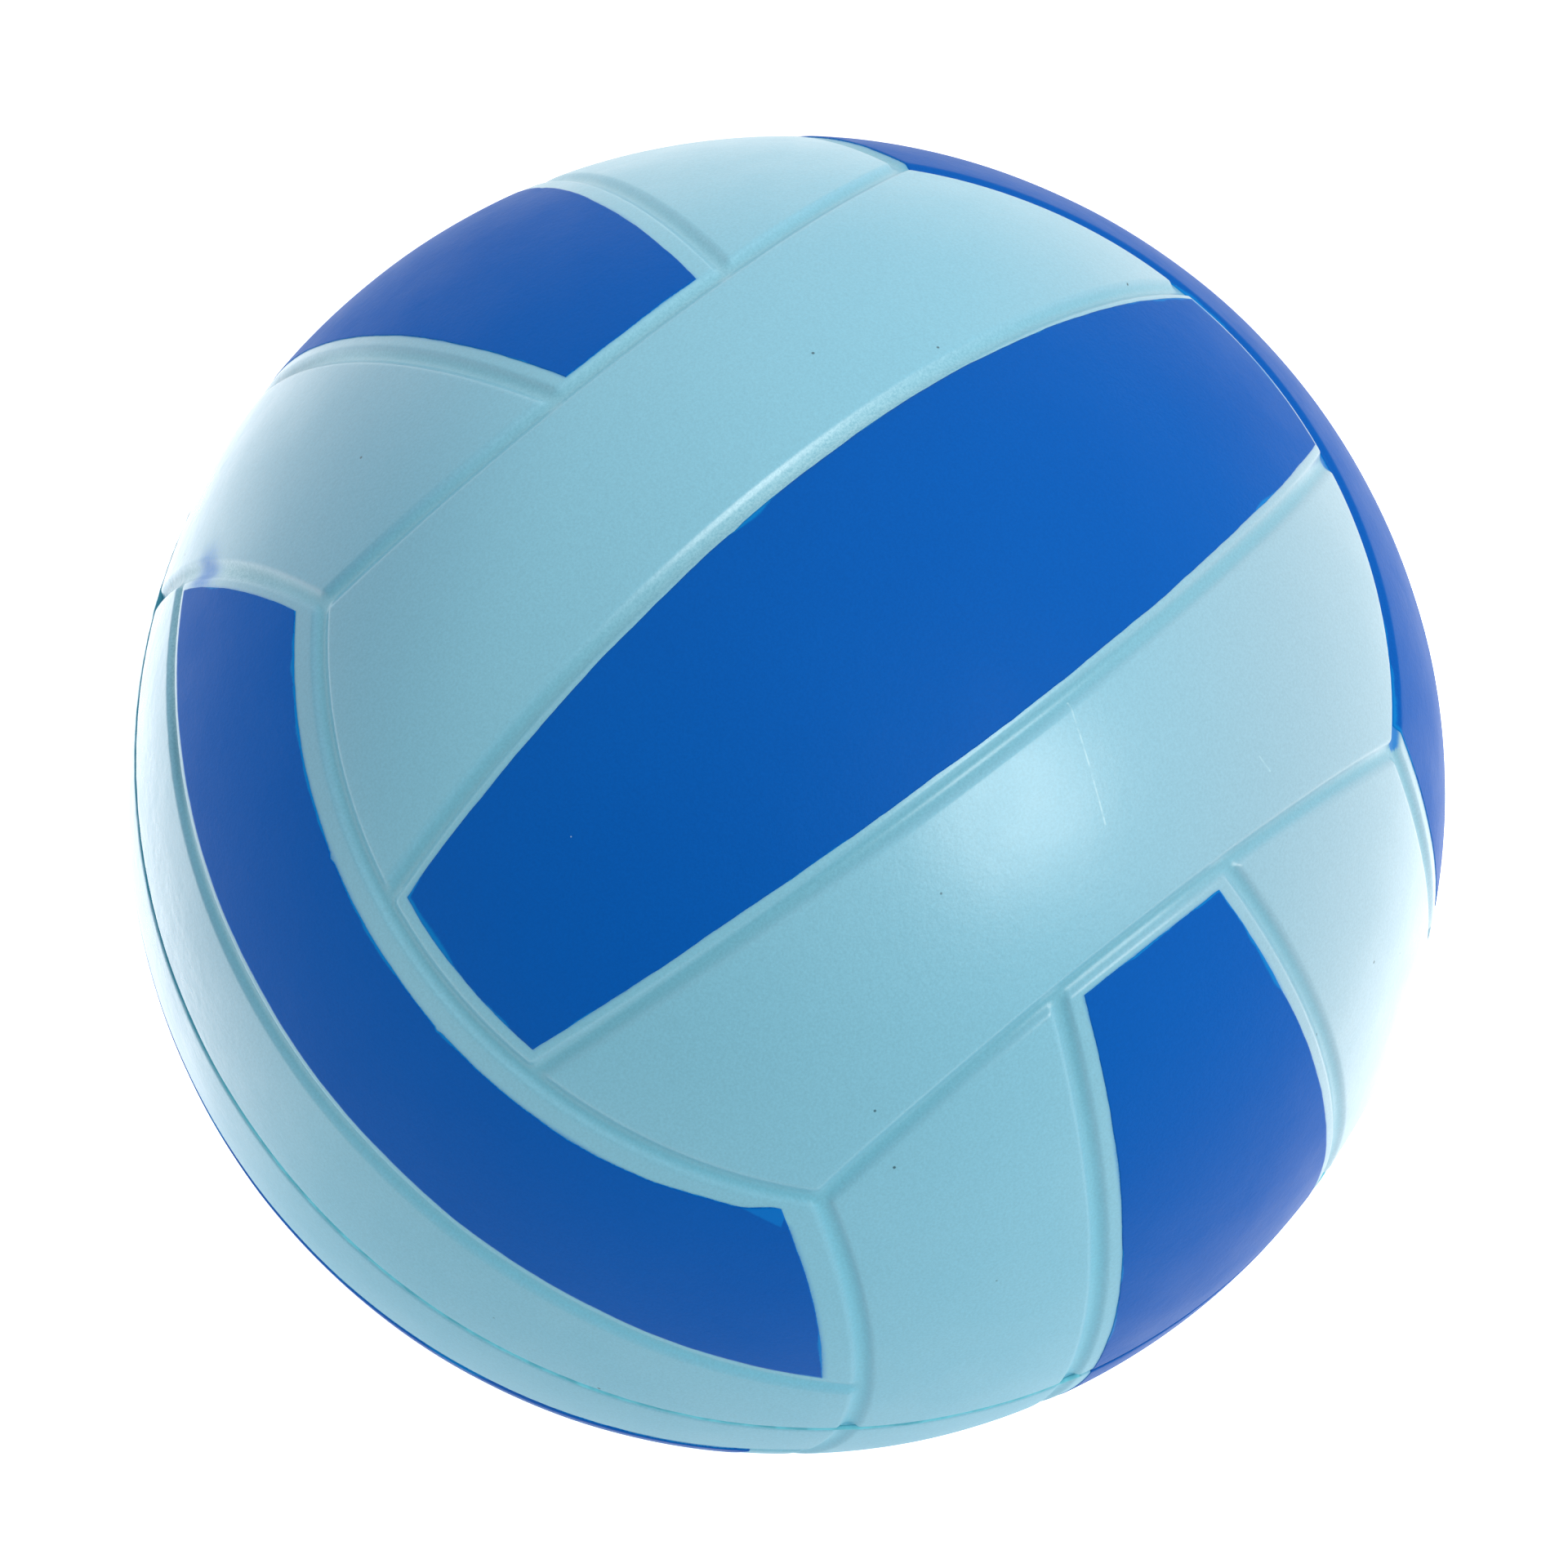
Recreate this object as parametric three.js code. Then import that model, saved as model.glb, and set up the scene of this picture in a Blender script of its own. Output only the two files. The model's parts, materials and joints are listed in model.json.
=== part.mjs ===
import * as THREE from 'three';

// A moulded foam stress ball in the shape of an eighteen-panel volleyball.
// Millimetres. +Z is the mould's axis, out of the front half. The two mould halves meet in z = 0.
// A ball like this is one lump of foam in a sprayed skin, so the panels are grooves in the skin
// and the dark strips are coats of masked paint on top of it.

// Radii, from the outside in. A paint coat is a few hundredths of a millimetre thick in reality.
const BALL_RADIUS = 31.5;
const PAINT_THICKNESS = 0.15;
const PAINT_GAP = 0.12;
const SKIN_RADIUS = BALL_RADIUS - PAINT_THICKNESS - PAINT_GAP;
const SKIN_THICKNESS = 0.9;
const CORE_GAP = 0.3;
const CORE_RADIUS = SKIN_RADIUS - SKIN_THICKNESS - CORE_GAP;

// Grooves between the panels.
const GROOVE_DEPTH = 0.35;
const GROOVE_HALF_WIDTH = 0.6;

// The parting line: half the slot between the skins, and the web of foam that fills it. The web
// stands as high as the paint, except where paint crosses it: there it stays just over the skin.
const PARTING_HALF_GAP = 0.22;
const FLASH_HALF_THICKNESS = 0.1;
const FLASH_OUTER_RADIUS = BALL_RADIUS;
const FLASH_COVERED_RADIUS = SKIN_RADIUS + 0.05;
const FLASH_COVERED_REACH = 0.3;
const FLASH_INNER_RADIUS = CORE_RADIUS + 0.45;
const FLASH_SEGMENTS = 64;

// The seam net. The twelve edges of a cube, drawn on the ball, bound six faces of three strips.
// Each edge is bowed into a circle parallel to a principal plane, at this height over it.
const EDGE_HEIGHT = 1 / Math.sqrt(3);
const EDGE_CIRCLE = Math.sqrt(1 - EDGE_HEIGHT ** 2);
const SIDE_ANGLE = Math.asin(EDGE_HEIGHT);
const END_ANGLE = Math.acos(EDGE_HEIGHT);
const CORNER_AZIMUTH = Math.PI / 4;

// The groove between two strips crosses the middle of a face at this angle from its centre line,
// in a plane that leans by the second angle.
const STRIP_ANGLE = 0.26;
const STRIP_LEAN = 0.224;

// How finely each region is divided.
const MIDDLE_DIVISIONS = 2;
const SIDE_DIVISIONS = 4;
const CORE_DIVISIONS = 4;
const LEAST_CELL = 0.9;

const COLOURS = {
  foam: 0xe9dfc2,
  skin: 0x93c6d8,
  flash: 0x3f8496,
  paint: 0x0a55b5,
};

// A face's own axes: s along its strips, t across them, w out of the ball.
const FACES = {
  front: (s, t, w) => [s, t, w],
  rear: (s, t, w) => [s, t, -w],
  right: (s, t, w) => [w, s, t],
  left: (s, t, w) => [-w, s, t],
  upper: (s, t, w) => [t, w, s],
  lower: (s, t, w) => [t, -w, s],
};
const ORIENTED = { front: 1, rear: -1, right: 1, left: -1, upper: 1, lower: -1 };

// Painted windows. margin is the bare width between each side of the coat and the groove's centre:
// low and high end along s, then low and high side along t. They differ because a mask never sits
// quite square on a soft ball. strip is 0 for a face's middle strip, 1 and -1 for its side strips.
const COATS = [
  { name: 'paint_front', face: 'front', strip: 0, margin: [1.2, 0.85, 0.95, 0.9] },
  { name: 'paint_rear', face: 'rear', strip: 0, margin: [1.1, 1.1, 1.1, 1.1] },
  { name: 'paint_left_front', face: 'left', strip: 1, margin: [1.9, 1.3, 1.0, 1.8] },
  { name: 'paint_left_rear', face: 'left', strip: -1, margin: [1.3, 1.3, 1.2, 1.2] },
  { name: 'paint_right_front', face: 'right', strip: 1, margin: [1.2, 0.9, 1.2, 0.8] },
  { name: 'paint_right_rear', face: 'right', strip: -1, margin: [1.2, 1.2, 1.2, 1.2] },
  { name: 'paint_upper', face: 'upper', strip: 0, margin: [1.1, 0.85, 1.2, 1.5] },
  { name: 'paint_lower', face: 'lower', strip: 0, margin: [1.1, 0.9, 1.3, 1.2] },
];

// A grid line across a face, on its positive side, is a plane that crosses the middle of the face
// at `angle` and leans by `lean`.
const radians = (length) => length / SKIN_RADIUS;
const acrossLine = (angle, lean, depth = 0) => ({ angle, lean, depth });

// The line along the strips, at an angle between the centre line and a face's side.
function leanAt(angle) {
  if (angle <= STRIP_ANGLE) {
    return STRIP_LEAN * angle / STRIP_ANGLE;
  }
  return STRIP_LEAN * (SIDE_ANGLE - angle) / (SIDE_ANGLE - STRIP_ANGLE);
}

// Where such a line meets the face's end, as an azimuth on the end's circle.
function azimuthOf({ angle, lean }) {
  const t = (Math.sin(angle - lean) + EDGE_HEIGHT * Math.sin(lean)) / Math.cos(lean);
  return Math.asin(Math.min(t / EDGE_CIRCLE, Math.sin(CORNER_AZIMUTH)));
}

// The line across the strips that starts from an azimuth on the face's side, so that the grids of
// two faces share their vertices. Close to a face's end it runs parallel to that end.
function endwiseLine(azimuth, parallel, depth) {
  const s = EDGE_CIRCLE * Math.sin(azimuth);
  const w = EDGE_CIRCLE * Math.cos(azimuth);
  if (parallel) {
    return { angle: Math.acos(w), lean: Math.PI / 2, depth };
  }
  const angle = azimuth * END_ANGLE / CORNER_AZIMUTH;
  return { angle, lean: Math.atan2(Math.sin(angle) - s, Math.cos(angle) - w), depth };
}

function spread(from, to, divisions) {
  return Array.from({ length: divisions - 1 }, (_, i) => from + (to - from) * (i + 1) / divisions);
}

// The lines on the positive side of a face, from its centre line to its edge, with and without
// grooves.
function groovedSide() {
  const half = radians(GROOVE_HALF_WIDTH);
  const low = STRIP_ANGLE - half;
  const high = STRIP_ANGLE + half;
  const rim = SIDE_ANGLE - half;
  return [
    acrossLine(0, 0),
    ...spread(0, low, MIDDLE_DIVISIONS).map((angle) => acrossLine(angle, leanAt(angle))),
    acrossLine(low, STRIP_LEAN),
    acrossLine(STRIP_ANGLE, STRIP_LEAN, GROOVE_DEPTH),
    acrossLine(high, STRIP_LEAN),
    ...spread(high, rim, SIDE_DIVISIONS).map((angle) => acrossLine(angle, leanAt(angle))),
    acrossLine(rim, 0),
    acrossLine(SIDE_ANGLE, 0, GROOVE_DEPTH),
  ];
}

function plainSide() {
  const angles = [0, ...spread(0, SIDE_ANGLE, CORE_DIVISIONS), SIDE_ANGLE];
  return angles.map((angle) => acrossLine(angle, leanAt(angle)));
}

// The matching lines across the strips. Only the outermost one is a groove there.
function endwise(side) {
  const last = side.length - 1;
  return side.map((line, i) => {
    const grooved = i === last ? line.depth : 0;
    return endwiseLine(azimuthOf(line), i >= last - 1 && side[last].depth > 0, grooved);
  });
}

const mirrored = (line, sign) => ({ ...line, sign });
const bothSides = (side) => [
  ...side.slice(1).reverse().map((line) => mirrored(line, -1)),
  ...side.map((line) => mirrored(line, 1)),
];

// The unit vector where a line across the strips meets one along them, in the face's own axes.
function crossing(end, side) {
  const n1 = new THREE.Vector3(Math.cos(end.lean), 0, -Math.sin(end.lean));
  const n2 = new THREE.Vector3(0, Math.cos(side.lean), -Math.sin(side.lean));
  const d1 = Math.sin(end.angle - end.lean);
  const d2 = Math.sin(side.angle - side.lean);
  const along = new THREE.Vector3().crossVectors(n1, n2);
  const size = along.lengthSq();
  const foot = new THREE.Vector3().crossVectors(n2, along).multiplyScalar(d1 / size);
  foot.addScaledVector(new THREE.Vector3().crossVectors(along, n1), d2 / size);
  along.normalize();
  foot.addScaledVector(along, Math.sqrt(Math.max(1 - foot.lengthSq(), 0)));
  return [end.sign * foot.x, side.sign * foot.y, foot.z];
}

// Collects triangles whose corners are shared by place, so that every mesh comes out welded.
class Surface {
  constructor() {
    this.places = [];
    this.index = [];
    this.known = new Map();
  }

  vertex(place) {
    const key = place.map((v) => Math.round(v * 1e5)).join();
    if (!this.known.has(key)) {
      this.known.set(key, this.places.length / 3);
      this.places.push(...place);
    }
    return this.known.get(key);
  }

  quad(corners, outward) {
    const [a, b, c, d] = (outward ? corners : [...corners].reverse()).map((p) => this.vertex(p));
    for (const triangle of [[a, b, c], [a, c, d]]) {
      if (new Set(triangle).size === 3) {
        this.index.push(...triangle);
      }
    }
  }

  geometry() {
    const made = new THREE.BufferGeometry();
    made.setAttribute('position', new THREE.Float32BufferAttribute(this.places, 3));
    made.setIndex(this.index);
    made.computeVertexNormals();
    return made;
  }
}

// Lays a grid of a face on a surface. place(direction, depth) says where a grid point goes.
function layFace(surface, face, ends, sides, place, outward) {
  const at = (end, side) => {
    const direction = FACES[face](...crossing(end, side));
    return place(direction, Math.max(end.depth, side.depth));
  };
  const facing = (ORIENTED[face] > 0) === outward;
  for (let i = 0; i + 1 < ends.length; i += 1) {
    for (let k = 0; k + 1 < sides.length; k += 1) {
      const corners = [
        at(ends[i], sides[k]),
        at(ends[i + 1], sides[k]),
        at(ends[i + 1], sides[k + 1]),
        at(ends[i], sides[k + 1]),
      ];
      surface.quad(corners, facing);
    }
  }
}

const onSphere = (radius) => (direction, depth) => direction.map((v) => v * (radius - depth));

// One half of the skin: a dome with grooves outside, smooth inside, with a flat rim at the parting
// line. side is 1 for the front half and -1 for the rear half.
function halfSkin(side) {
  const surface = new Surface();
  const lines = groovedSide();
  const sides = bothSides(lines);
  const ends = bothSides(endwise(lines));
  const inHalf = (list) => list.filter((line) => line.sign === side || line.angle === 0);
  const cap = side > 0 ? 'front' : 'rear';
  const inner = SKIN_RADIUS - SKIN_THICKNESS;
  const lifted = (radius, grooved) => (direction, depth) => {
    const place = onSphere(radius)(direction, grooved ? depth : 0);
    const low = Math.abs(place[2]) < PARTING_HALF_GAP;
    return low ? [place[0], place[1], side * PARTING_HALF_GAP] : place;
  };
  for (const [place, outward] of [[lifted(SKIN_RADIUS, true), true], [lifted(inner, false), false]]) {
    layFace(surface, cap, ends, sides, place, outward);
    for (const face of ['right', 'left']) {
      layFace(surface, face, ends, inHalf(sides), place, outward);
    }
    for (const face of ['upper', 'lower']) {
      layFace(surface, face, inHalf(ends), sides, place, outward);
    }
  }
  addRim(surface, side, ends, sides, lifted(SKIN_RADIUS, true), lifted(inner, false));
  return surface.geometry();
}

// The flat ring that joins the inside of a half skin to its outside.
function addRim(surface, side, ends, sides, outside, inside) {
  const centre = { angle: 0, lean: 0, depth: 0, sign: 1 };
  const round = [
    ['right', ends, (line) => [line, centre]],
    ['left', ends, (line) => [line, centre]],
    ['upper', sides, (line) => [centre, line]],
    ['lower', sides, (line) => [centre, line]],
  ];
  // Whether walking a face's own grid goes anticlockwise about +Z.
  const anticlockwise = { right: true, left: false, upper: false, lower: true };
  for (const [face, lines, pair] of round) {
    for (let i = 0; i + 1 < lines.length; i += 1) {
      const [from, to] = [lines[i], lines[i + 1]].map((line) => {
        const direction = FACES[face](...crossing(...pair(line)));
        return [outside(direction, line.depth), inside(direction, 0)];
      });
      surface.quad([from[0], to[0], to[1], from[1]], anticlockwise[face] !== side > 0);
    }
  }
}

function core() {
  const surface = new Surface();
  const lines = plainSide();
  for (const face of Object.keys(FACES)) {
    layFace(surface, face, bothSides(endwise(lines)), bothSides(lines), onSphere(CORE_RADIUS), true);
  }
  return surface.geometry();
}

// Signed lines on both sides of a face, kept between two boundary lines.
const signedAngle = (line) => line.sign * line.angle;
function within(lines, low, high) {
  const from = signedAngle(low) + radians(LEAST_CELL);
  const to = signedAngle(high) - radians(LEAST_CELL);
  const kept = lines.filter((line) => signedAngle(line) > from && signedAngle(line) < to);
  return [low, ...kept, high].map((line) => ({ ...line, depth: 0 }));
}

const signed = (angle, lean) => ({ angle: Math.abs(angle), lean, depth: 0, sign: Math.sign(angle) });

// A coat of paint on one strip: the strip's own surface, raised, with a wall all round.
function coat({ face, strip, margin }) {
  const surface = new Surface();
  const [startMargin, endMargin, lowMargin, highMargin] = margin.map(radians);
  const lines = groovedSide();
  const ends = within(
    bothSides(endwise(lines)),
    signed(startMargin - END_ANGLE, Math.PI / 2),
    signed(END_ANGLE - endMargin, Math.PI / 2),
  );
  const limits = {
    '-1': [signed(lowMargin - SIDE_ANGLE, 0), signed(highMargin * -1 - STRIP_ANGLE, STRIP_LEAN)],
    0: [signed(lowMargin - STRIP_ANGLE, STRIP_LEAN), signed(STRIP_ANGLE - highMargin, STRIP_LEAN)],
    1: [signed(STRIP_ANGLE + lowMargin, STRIP_LEAN), signed(SIDE_ANGLE - highMargin, 0)],
  };
  const sides = within(bothSides(lines), ...limits[strip]);
  const inside = onSphere(SKIN_RADIUS + PAINT_GAP);
  const outside = onSphere(BALL_RADIUS);
  layFace(surface, face, ends, sides, outside, true);
  layFace(surface, face, ends, sides, inside, false);
  const direction = (end, side) => FACES[face](...crossing(end, side));
  const first = [ends[0], ends[ends.length - 1]];
  const last = [sides[0], sides[sides.length - 1]];
  const border = [
    ...ends.map((end) => direction(end, last[0])),
    ...sides.slice(1).map((side) => direction(first[1], side)),
    ...ends.slice(0, -1).reverse().map((end) => direction(end, last[1])),
    ...sides.slice(1, -1).reverse().map((side) => direction(first[0], side)),
  ];
  border.forEach((from, i) => {
    const to = border[(i + 1) % border.length];
    const corners = [outside(from, 0), inside(from, 0), inside(to, 0), outside(to, 0)];
    surface.quad(corners, ORIENTED[face] > 0);
  });
  return surface.geometry();
}

// The thin web of foam pressed out between the mould halves, as a flat ring. It is covered within a
// share of the radius from the middle of the upper and lower faces.
function flash() {
  const surface = new Surface();
  const outerRadius = (turn) => {
    const covered = Math.abs(Math.cos(turn)) < FLASH_COVERED_REACH;
    return covered ? FLASH_COVERED_RADIUS : FLASH_OUTER_RADIUS;
  };
  const profile = [
    [() => FLASH_INNER_RADIUS, -FLASH_HALF_THICKNESS],
    [outerRadius, -FLASH_HALF_THICKNESS],
    [outerRadius, FLASH_HALF_THICKNESS],
    [() => FLASH_INNER_RADIUS, FLASH_HALF_THICKNESS],
  ];
  const at = ([radius, z], step) => {
    const turn = 2 * Math.PI * (step % FLASH_SEGMENTS) / FLASH_SEGMENTS;
    return [radius(turn) * Math.cos(turn), radius(turn) * Math.sin(turn), z];
  };
  for (let step = 0; step < FLASH_SEGMENTS; step += 1) {
    profile.forEach((from, i) => {
      const to = profile[(i + 1) % profile.length];
      surface.quad([at(from, step), at(from, step + 1), at(to, step + 1), at(to, step)], true);
    });
  }
  return surface.geometry();
}

function piece(name, geometry, colour, roughness) {
  const material = new THREE.MeshStandardMaterial({ color: colour, roughness });
  const mesh = new THREE.Mesh(geometry, material);
  mesh.name = name;
  return mesh;
}

const ball = new THREE.Group();
ball.name = 'stress_ball';
ball.add(piece('foam_core', core(), COLOURS.foam, 0.95));
ball.add(piece('front_half_skin', halfSkin(1), COLOURS.skin, 0.55));
ball.add(piece('rear_half_skin', halfSkin(-1), COLOURS.skin, 0.55));
ball.add(piece('parting_flash', flash(), COLOURS.flash, 0.8));
for (const window of COATS) {
  ball.add(piece(window.name, coat(window), COLOURS.paint, 0.5));
}

export default ball;
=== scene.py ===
import json
import math

import bmesh
import bpy
import numpy as np
from mathutils import Matrix, Vector


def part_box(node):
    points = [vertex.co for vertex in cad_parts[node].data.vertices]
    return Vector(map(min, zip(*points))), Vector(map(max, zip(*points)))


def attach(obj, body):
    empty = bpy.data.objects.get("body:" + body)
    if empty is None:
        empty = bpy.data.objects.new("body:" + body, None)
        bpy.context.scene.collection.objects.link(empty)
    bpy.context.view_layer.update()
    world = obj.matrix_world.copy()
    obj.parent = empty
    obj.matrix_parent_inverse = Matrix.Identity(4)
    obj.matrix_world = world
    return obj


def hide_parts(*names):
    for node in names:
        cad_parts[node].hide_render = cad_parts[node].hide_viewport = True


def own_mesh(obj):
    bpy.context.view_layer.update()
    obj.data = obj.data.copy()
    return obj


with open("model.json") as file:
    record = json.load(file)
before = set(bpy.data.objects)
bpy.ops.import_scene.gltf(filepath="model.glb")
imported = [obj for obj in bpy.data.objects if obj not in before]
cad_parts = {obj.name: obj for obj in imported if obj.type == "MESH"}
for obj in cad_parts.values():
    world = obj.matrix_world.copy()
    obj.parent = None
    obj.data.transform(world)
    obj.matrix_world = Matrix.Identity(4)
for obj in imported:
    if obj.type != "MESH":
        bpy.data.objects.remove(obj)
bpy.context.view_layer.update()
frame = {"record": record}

# A moulded foam stress ball patterned like an eighteen-panel volleyball. A light, sprayed skin in
# two halves is grooved between the panels, masked coats of darker paint lie on eight of its
# strips, a ragged web of foam fills the parting line, and a foam core fills the inside.
# Lengths are in metres, and +Z is the mould's axis, out of the middle of the front half.

MM = 0.001

# Radii and heights that the frame settles.
BALL_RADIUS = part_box("paint_front")[1].z
CORE_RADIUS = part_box("foam_core")[1].z
REST_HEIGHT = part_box("paint_rear")[0].z

# The coats of paint stand this much over the skin, and the highest waves of the skin this much
# under them.
PAINT_HEIGHT = 0.03 * MM
PAINT_ROOT = -0.05 * MM
WAVE_DEPTH = 0.05 * MM
WAVE_LENGTH = 9 * MM
CROWN_RADIUS = BALL_RADIUS - PAINT_HEIGHT - WAVE_DEPTH
SKIN_THICKNESS = 0.9 * MM

# Grooves between the panels, and the rolled lips of the parting line.
GROOVE_DEPTH = 0.27 * MM
GROOVE_HALF_WIDTH = 0.52 * MM
GROOVE_SHOULDER = 0.16
LIP_DEPTH = 0.2 * MM
LIP_HALF_WIDTH = 0.24 * MM
LIP_SHOULDER = 0.5
PARTING_HALF_GAP = 0.035 * MM

# The web at the parting line is trimmed low within this distance of x = 0, where paint covers it.
COVERED_REACH = 7.6 * MM
WEB_RADIUS = CROWN_RADIUS - 0.12 * MM
WEB_STEPS = 1500
BEAD_SIDES = 10

# Steps of the grids: between points of the skin and of a coat at most, rings in the skin's inner
# wall, and lines on half a face of the core.
SKIN_STEP = 0.55 * MM
COAT_STEP = 0.32 * MM
LINING_RINGS = 10
CORE_LINES = 26

# The seam net. The twelve edges of a cube, drawn on the ball, bound six faces of three strips.
# Each edge is bowed into a circle parallel to a principal plane, at this height over it.
EDGE_HEIGHT = 1 / math.sqrt(3)
EDGE_CIRCLE = math.sqrt(1 - EDGE_HEIGHT**2)
SIDE_ANGLE = math.asin(EDGE_HEIGHT)
END_ANGLE = math.acos(EDGE_HEIGHT)
CORNER_AZIMUTH = math.pi / 4

# The groove between two strips crosses the middle of a face at this angle from its centre line,
# in a plane that leans by the second angle.
STRIP_ANGLE = 0.26
STRIP_LEAN = 0.224

# Between these azimuths the lines across the strips turn parallel to the face's end.
TURN_START = math.radians(26)
TURN_END = math.radians(40)

# A face's own axes: s along its strips, t across them, w out of the ball.
FACES = {
    "front": lambda s, t, w: (s, t, w),
    "rear": lambda s, t, w: (s, t, -w),
    "right": lambda s, t, w: (w, s, t),
    "left": lambda s, t, w: (-w, s, t),
    "upper": lambda s, t, w: (t, w, s),
    "lower": lambda s, t, w: (t, -w, s),
}
TURNED_OVER = ("rear", "left", "lower")

# Painted windows: the face, the strip (0 in the middle, 1 and -1 at the sides), and the bare
# width from each groove's centre to the paint, in millimetres: low and high end along s, then low
# and high side across. Marks are where the mask slipped or let paint under it: the side, the
# place along it from its low end, the half width, and how far the paint reaches out.
COATS = {
    "paint_front": ("front", 0, (1.2, 0.8, 0.95, 0.85),
                    [("high", 31.0, 27.0, 0.4), ("low", 31.0, 27.0, 0.2), ("high", 24.0, 0.3, -0.1)]),
    "paint_rear": ("rear", 0, (1.1, 1.1, 1.1, 1.1), [("low", 30.0, 0.5, -0.12)]),
    "paint_left_front": (
        "left", 1, (1.9, 0.9, 0.9, 1.75),
        [("high", 3.0, 12.0, 0.45), ("high", 0.0, 2.4, 0.5), ("high", 27.0, 0.35, -0.1),
         ("high", 40.0, 0.3, -0.16)],
    ),
    "paint_left_rear": ("left", -1, (2.9, 1.3, 1.2, 0.45),
                        [("high", 12.0, 5.0, 0.12), ("high", 33.0, 0.4, -0.12)]),
    "paint_right_front": ("right", 1, (1.2, 0.5, 1.2, 0.12), []),
    "paint_right_rear": ("right", -1, (1.2, 1.2, 1.2, 1.2), [("low", 33.0, 0.6, 0.2)]),
    "paint_upper": ("upper", 0, (1.1, 0.65, 1.2, 1.5), [("high", 41.0, 0.35, -0.12)]),
    "paint_lower": ("lower", 0, (1.1, 0.9, 1.25, 1.15), [("low", 20.0, 0.4, -0.1)]),
}

# Paint that crept under the mask: a wedge from the first point, where it is this tall, to the
# second. Overspray, and dry spray that settled in the grooves: the middle of a patch, its radius
# and its strength. Scratches: their ends.
# All are directions out of the ball's centre.
BLEED = ((-0.626, -0.561, 0.543), (-0.667, -0.512, 0.543), 0.6 * MM)
OVERSPRAY = (
    ((-0.585, 0.766, 0.268), 1.6 * MM, 0.85),
    ((0.62, -0.5, -0.6), 1.6 * MM, 0.5),
    ((-0.3, 0.72, -0.62), 1.4 * MM, 0.5),
)
DUSTINGS = (
    ((0.02, 0.26, 0.96), 11 * MM, 0.9),
    ((-0.40, 0.84, 0.35), 5 * MM, 0.6),
    ((-0.62, 0.72, 0.30), 5 * MM, 0.8),
    ((0.30, 0.27, -0.91), 9 * MM, 0.7),
    ((0.80, -0.30, -0.51), 8 * MM, 0.5),
)
SCRATCHES = (
    ((0.079, -0.264, 0.961), (0.022, -0.433, 0.901)),
    ((0.309, -0.483, 0.820), (0.314, -0.510, 0.801)),
    ((-0.35, -0.21, -0.91), (-0.31, -0.33, -0.89)),
)

# The body that each node rides on, and the seed of the ragged edges.
BODIES = frame["record"]["behaviour"]["bodies"]
BODY_OF = {node: body for body, nodes in BODIES.items() for node in nodes}
SEED = 7

# Stray paint beside every window: its strength, and the length it fades over.
MIST = 0.55
MIST_FADE = 0.11 * MM

# How ragged the mask's edge is, and the lengths of its waves, in millimetres.
RAGGED = 0.022 * MM
WAVER_LENGTHS = (11.0, 6.1, 3.4, 1.9, 1.1, 0.6)


# --- The seam net -------------------------------------------------------------------------------

def graded(length, first, last, coarse):
    """Places from 0 to length. first and last are (step, reach): how close the places are near
    that end, and how far that goes on before the steps grow."""
    growth = 0.28
    places = [0.0]
    while places[-1] < length:
        here = places[-1]
        near_first = first[0] + growth * max(here - first[1], 0)
        near_last = last[0] + growth * max(length - here - last[1], 0)
        places.append(here + min(near_first, near_last, coarse))
    return np.array(places) * length / places[-1]


def smooth_step(low, high, value):
    share = np.clip((value - low) / (high - low), 0, 1)
    return share * share * (3 - 2 * share)


def side_lean(angle):
    """How far a line along the strips leans, at an angle between the centre line and the side."""
    inside = STRIP_LEAN * angle / STRIP_ANGLE
    outside = STRIP_LEAN * (SIDE_ANGLE - angle) / (SIDE_ANGLE - STRIP_ANGLE)
    return np.where(angle <= STRIP_ANGLE, inside, outside)


def end_azimuth(angle):
    """Where a line along the strips meets the face's end, as an azimuth on the end's circle."""
    lean = side_lean(angle)
    t = (np.sin(angle - lean) + EDGE_HEIGHT * np.sin(lean)) / np.cos(lean)
    return np.arcsin(np.minimum(t / EDGE_CIRCLE, math.sin(CORNER_AZIMUTH)))


def end_line(azimuth):
    """The line across the strips that starts from an azimuth on the face's side, so that two
    faces share their vertices. Close to a face's end it runs parallel to that end."""
    parallel = smooth_step(TURN_START, TURN_END, azimuth)
    even = azimuth * END_ANGLE / CORNER_AZIMUTH
    angle = (1 - parallel) * even + parallel * np.arccos(EDGE_CIRCLE * np.cos(azimuth))
    lean = np.arctan2(
        np.sin(angle) - EDGE_CIRCLE * np.sin(azimuth),
        np.cos(angle) - EDGE_CIRCLE * np.cos(azimuth),
    )
    return angle, lean


def end_lean(angle):
    """The lean of the line across the strips that crosses a face's middle at a signed angle."""
    azimuths = np.linspace(0, CORNER_AZIMUTH, 600)
    angles, leans = end_line(azimuths)
    return np.sign(angle) * np.interp(np.abs(angle), angles, leans)


def crossing(ends, sides):
    """Unit vectors, in a face's own axes, where lines across the strips meet lines along them.
    Each is a pair of arrays, signed angle and signed lean, that broadcast against the other."""
    (end, end_tilt), (side, side_tilt) = ends, sides
    shape = np.broadcast(end, side).shape
    zero = np.zeros(shape)
    first = np.stack([np.cos(end_tilt) + zero, zero, -np.sin(end_tilt) + zero], -1)
    second = np.stack([zero, np.cos(side_tilt) + zero, -np.sin(side_tilt) + zero], -1)
    along = np.cross(first, second)
    size = (along**2).sum(-1, keepdims=True)
    foot = np.cross(second, along) * (np.sin(end - end_tilt) + zero)[..., None]
    foot = (foot + np.cross(along, first) * (np.sin(side - side_tilt) + zero)[..., None]) / size
    rise = np.sqrt(np.maximum(1 - (foot**2).sum(-1, keepdims=True), 0))
    return foot + along / np.sqrt(size) * rise


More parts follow.
